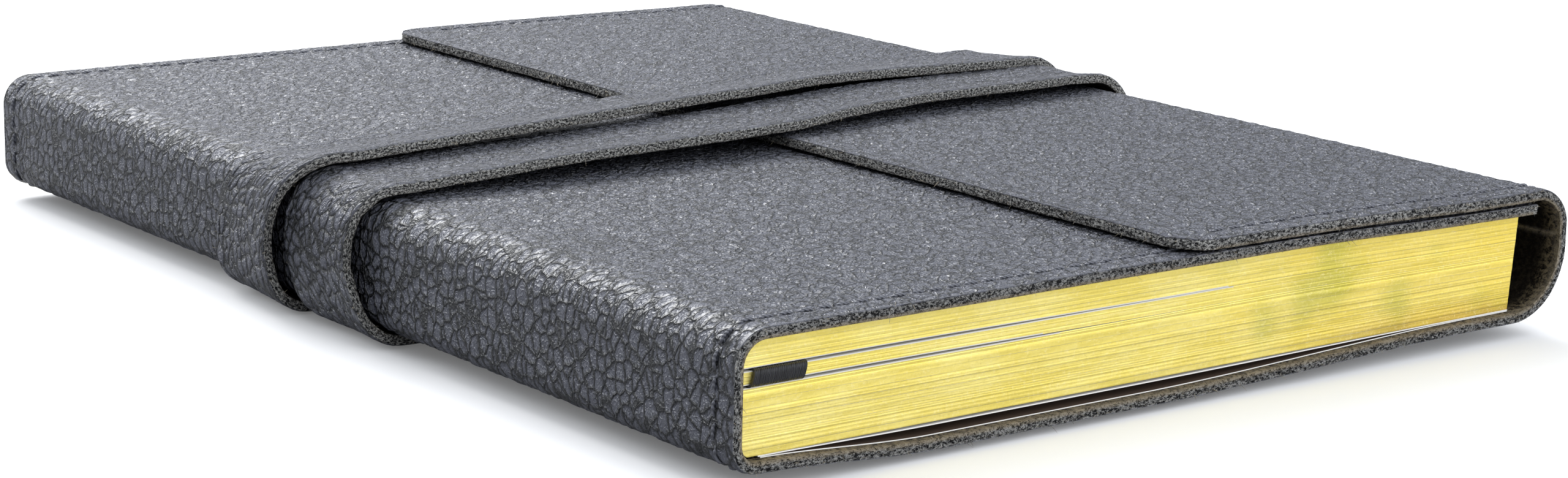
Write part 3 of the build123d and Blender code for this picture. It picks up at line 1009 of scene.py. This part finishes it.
def make_signature(name, body):
    """A folded section: ridged gilt edges, and bare white leaves where it faces the ribbon."""
    low, high = box_mm(name)
    number = int(name[-2:])
    local = np.random.default_rng(SEED + number)
    steps = local.uniform(0.6, 1.4, SECTION_ROWS - 1)
    height = low[2] + (high[2] - low[2]) * np.concatenate([[0], np.cumsum(steps) / steps.sum()])
    side = OPENING_NUMBERS.get(number)
    if side == "below":
        height[1] = height[0] + BARE_EDGE
    if side == "above":
        height[-2] = height[-1] - BARE_EDGE
    left = spine_edge(height)
    right = fore_x - fore_lean * (top_z - height) / (top_z - base_z)
    share = np.linspace(0, 1, SECTION_COLUMNS)[None]
    ridge = local.normal(0, 0.008, SECTION_ROWS)[:, None]
    x = left[:, None] + (right - left)[:, None] * share
    z = np.repeat(height[:, None], SECTION_COLUMNS, 1)
    wobble = 0.04 * waves(x, z * 9, 34.0, SEED + number)
    if side == "below":
        closing = smooth(spine_x + 16, spine_x + 80, x)
        z = z - (RIBBON_GAP - 0.03) * closing * (1 - (z - low[2]) / (high[2] - low[2]))
    z = settle(x, z)
    x = x + np.where(share > 0.99, ridge, 0)
    tail = np.stack([x, low[1] + 0.06 + ridge + wobble, z], -1).reshape(-1, 3)
    head = np.stack([x, high[1] - 0.06 - ridge - wobble, z], -1).reshape(-1, 3)
    end_looks = np.full((SECTION_ROWS - 1, SECTION_COLUMNS - 1), GILT)
    bare_until = 8.0 if number < 6 else -26.0
    bare = x[0, :-1] + 6 * waves(x[0, :-1], 0 * x[0, :-1], 20.0, number) < bare_until
    if side:
        end_looks[0 if side == "below" else -1, bare] = PAPER
    faces, looks = section_faces(end_looks)
    piece = mesh_object("leaves_" + name[-2:], np.concatenate([tail, head]), faces, False)
    finish(piece, gilt_look, [name], body)
    piece.data.materials.append(page_look)
    piece.data.polygons.foreach_set("material_index", looks)


for body, nodes in frame["record"]["behaviour"]["bodies"].items():
    for node in nodes:
        if node.startswith("signature_"):
            make_signature(node, body)

# ---- endpapers

HINGE_CLEARANCE = 2.0


def endpaper(name, node, body, look, dip):
    """A single leaf, lowered by a function of x and y."""
    low, high = box_mm(node)
    x = np.linspace(low[0] + HINGE_CLEARANCE, high[0], 90)
    x, y = np.meshgrid(x, across_samples(low[1], high[1], 3.0), indexing="ij")
    under = np.stack([x, y, low[2] - dip(x, y)], -1)
    over = np.stack([x, y, high[2] - dip(x, y)], -1)
    uv = np.stack([x, y, 0 * x], -1)
    piece = slab(name, under[::-1], over[::-1], uv, 1, bulge=0.0)[0]
    finish(piece, look, [node], body)


# The pastedowns carry painted shade: their dark brown stands in for the shade in the gap under the leaves.
endpaper("pastedown_back", "back_pastedown", "book", pastedown_shade_look, sag)
endpaper("flyleaf_back", "back_flyleaf", "book", endpaper_look, lambda x, y: 0.2 * sag(x, y))
endpaper("pastedown_front", "front_pastedown", "cover", pastedown_shade_look, lambda x, y: page_dip(x))
endpaper("flyleaf_front", "front_flyleaf", "front_leaves", endpaper_look, lambda x, y: page_dip(x))

# ---- ribbon

RIBBON_THICKNESS = 0.22
RIBBON_YARNS = 37
RIBBON_TUCK = 70.0
FOLD_REACH = 0.9
FOLD_SQUARENESS = 0.62


def ribbon_line(low, high):
    """Y and Z along the ribbon: over the marked leaves, round their tail and back under them."""
    lower_z, upper_z = low[2] + RIBBON_THICKNESS / 2, high[2] - RIBBON_THICKNESS / 2
    centre, fold = (upper_z + lower_z) / 2, (upper_z - lower_z) / 2
    tail_y = low[1] + 0.1
    bend_y = tail_y + FOLD_REACH
    line = [(y, upper_z) for y in np.linspace(high[1], bend_y, 60)]
    for angle in np.linspace(math.pi / 2, 3 * math.pi / 2, 28)[1:-1]:
        across, up = math.cos(angle), math.sin(angle)
        bulge = FOLD_REACH * abs(across) ** FOLD_SQUARENESS
        line.append((bend_y - bulge, centre + fold * math.copysign(abs(up) ** FOLD_SQUARENESS, up)))
    line += [(y, lower_z) for y in np.linspace(bend_y, tail_y + RIBBON_TUCK, 60)]
    return np.array(line), centre


def make_ribbon():
    """A woven ribbon with a fine rib to each yarn and a thicker edge."""
    low, high = box_mm("ribbon_bookmark")
    line, centre = ribbon_line(low, high)
    tangent = np.gradient(line, axis=0)
    tangent /= np.linalg.norm(tangent, axis=1)[:, None]
    y, z = line[:, [0]], line[:, [1]]
    across = np.linspace(-1, 1, RIBBON_YARNS)[None]
    half_width = (high[0] - low[0]) / 2 - 0.3
    along = np.concatenate([[0], np.cumsum(np.linalg.norm(np.diff(line, axis=0), axis=1))])[:, None]
    lean = 0.28 * (z - centre) + 0.12 * np.sin(along / 9)
    x = (low[0] + high[0]) / 2 + half_width * across + lean
    rib = 0.018 * np.cos(np.arange(RIBBON_YARNS) * math.pi)[None] + 0.05 * smooth(0.86, 1.0, np.abs(across))
    half = RIBBON_THICKNESS / 2 + rib + 0 * x
    shift_y, shift_z = tangent[:, [1]] * half, -tangent[:, [0]] * half
    under = np.stack([x, y - shift_y, z - shift_z], -1)
    over = np.stack([x, y + shift_y, z + shift_z], -1)
    uv = np.stack([along + 0 * x, x, 0 * x], -1)
    piece = slab("ribbon", under, over, uv, 1, bulge=0.0)[0]
    finish(piece, ribbon_look, ["ribbon_bookmark"], "bookmark")


make_ribbon()

# ---- carried-over parts


def repaint(node, look):
    """Gives a carried-over CAD node its finished material."""
    materials = frame["nodes"][node].data.materials
    materials.clear()
    materials.append(look)


repaint("spine_lining", cloth_look)
repaint("sewing_cords", cord_look)

# ---- stage, light and camera

FLOOR_HALF_SIZE = 4000.0
FLOOR_CLEARANCE = 0.0005
AMBIENT = 0.12
# Aim, tightness and strength of each soft box.
SOFT_BOXES = (
    ((0.0, 0.0, 1.0), 1.5, 1.2),
    ((0.1, 0.76, 0.64), 12.0, 1.35),
    ((-0.45, 0.78, 0.42), 50.0, 9.0),
    ((0.37, 0.52, 0.78), 70.0, 6.0),
    ((-0.75, -0.25, 0.6), 3.0, 0.1),
    ((0.45, -0.88, 0.12), 3.0, 3.0),
)
KEY_PLACE = (0.1, 0.9, 0.75)
KEY_SIZE = (0.8, 0.5)
KEY_POWER = 12.0
CAMERA_AZIMUTH = -37.65
CAMERA_ELEVATION = 12.61
CAMERA_ROLL = 1.22
CAMERA_LENS = 74.7
CAMERA_PLACE = (-314.7, -422.2, 120.95)


def make_floor():
    """A wide plain floor: pale to the camera, and dimmer in what it throws back."""
    size = FLOOR_HALF_SIZE
    corners = [(-size, -size, 0), (size, -size, 0), (size, size, 0), (-size, size, 0)]
    floor = mesh_object("floor", corners, [(0, 1, 2, 3)])
    floor.location.z = cad_bounds[0].z - FLOOR_CLEARANCE
    n = Surface("pale_floor")
    seen = n.is_seen()
    floor.data.materials.append(n.finish({
        "Base Color": n.mix(seen, (0.34, 0.34, 0.35), (0.8, 0.8, 0.8)),
        "Emission Strength": n.times(seen, 0.12),
        "Roughness": 0.8,
    }))


def make_key():
    """A soft rectangular light behind the head of the book, aimed at it."""
    data = bpy.data.lights.new("key_behind", "AREA")
    data.shape = "RECTANGLE"
    data.size, data.size_y = KEY_SIZE
    data.energy = KEY_POWER
    lamp = bpy.data.objects.new("key_behind", data)
    lamp.location = KEY_PLACE
    lamp.rotation_mode = "QUATERNION"
    lamp.rotation_quaternion = (-Vector(KEY_PLACE)).to_track_quat("-Z", "Y")
    bpy.context.scene.collection.objects.link(lamp)


def make_world():
    """Soft boxes painted on the surroundings, which the camera itself sees as plain white."""
    world = bpy.data.worlds.new("studio")
    world.use_nodes = True
    n = Nodes(world.node_tree)
    sight = n.add("ShaderNodeTexCoord", (), "Generated")
    total = AMBIENT
    for aim, tightness, strength in SOFT_BOXES:
        facing = n.vector("DOT_PRODUCT", sight, Vector(aim).normalized(), "Value")
        lobe = n.math("POWER", n.math("MAXIMUM", facing, 0.0), tightness)
        total = n.math("MULTIPLY_ADD", lobe, strength, total)
    seen = n.is_seen()
    colour, brightness = n.mix(seen, (0.92, 0.95, 1.0), (1, 1, 1)), n.mix_value(seen, total, 1.0)
    n.fill(world.node_tree.nodes["Background"], {"Color": colour, "Strength": brightness})
    bpy.context.scene.world = world


def make_camera():
    """The camera stands low in front of the tail and spine corner."""
    data = bpy.data.cameras.new("camera")
    data.lens = CAMERA_LENS
    data.sensor_width = 36.0
    data.clip_start = 0.01
    camera = bpy.data.objects.new("camera", data)
    turn = Matrix.Rotation(math.radians(CAMERA_AZIMUTH), 4, "Z")
    tilt = Matrix.Rotation(math.radians(90 - CAMERA_ELEVATION), 4, "X")
    roll = Matrix.Rotation(math.radians(CAMERA_ROLL), 4, "Z")
    camera.matrix_world = Matrix.Translation([c * MM for c in CAMERA_PLACE]) @ turn @ tilt @ roll
    bpy.context.scene.collection.objects.link(camera)
    bpy.context.scene.camera = camera


make_floor()
make_world()
make_key()
make_camera()
bpy.context.scene.view_settings.view_transform = "Standard"
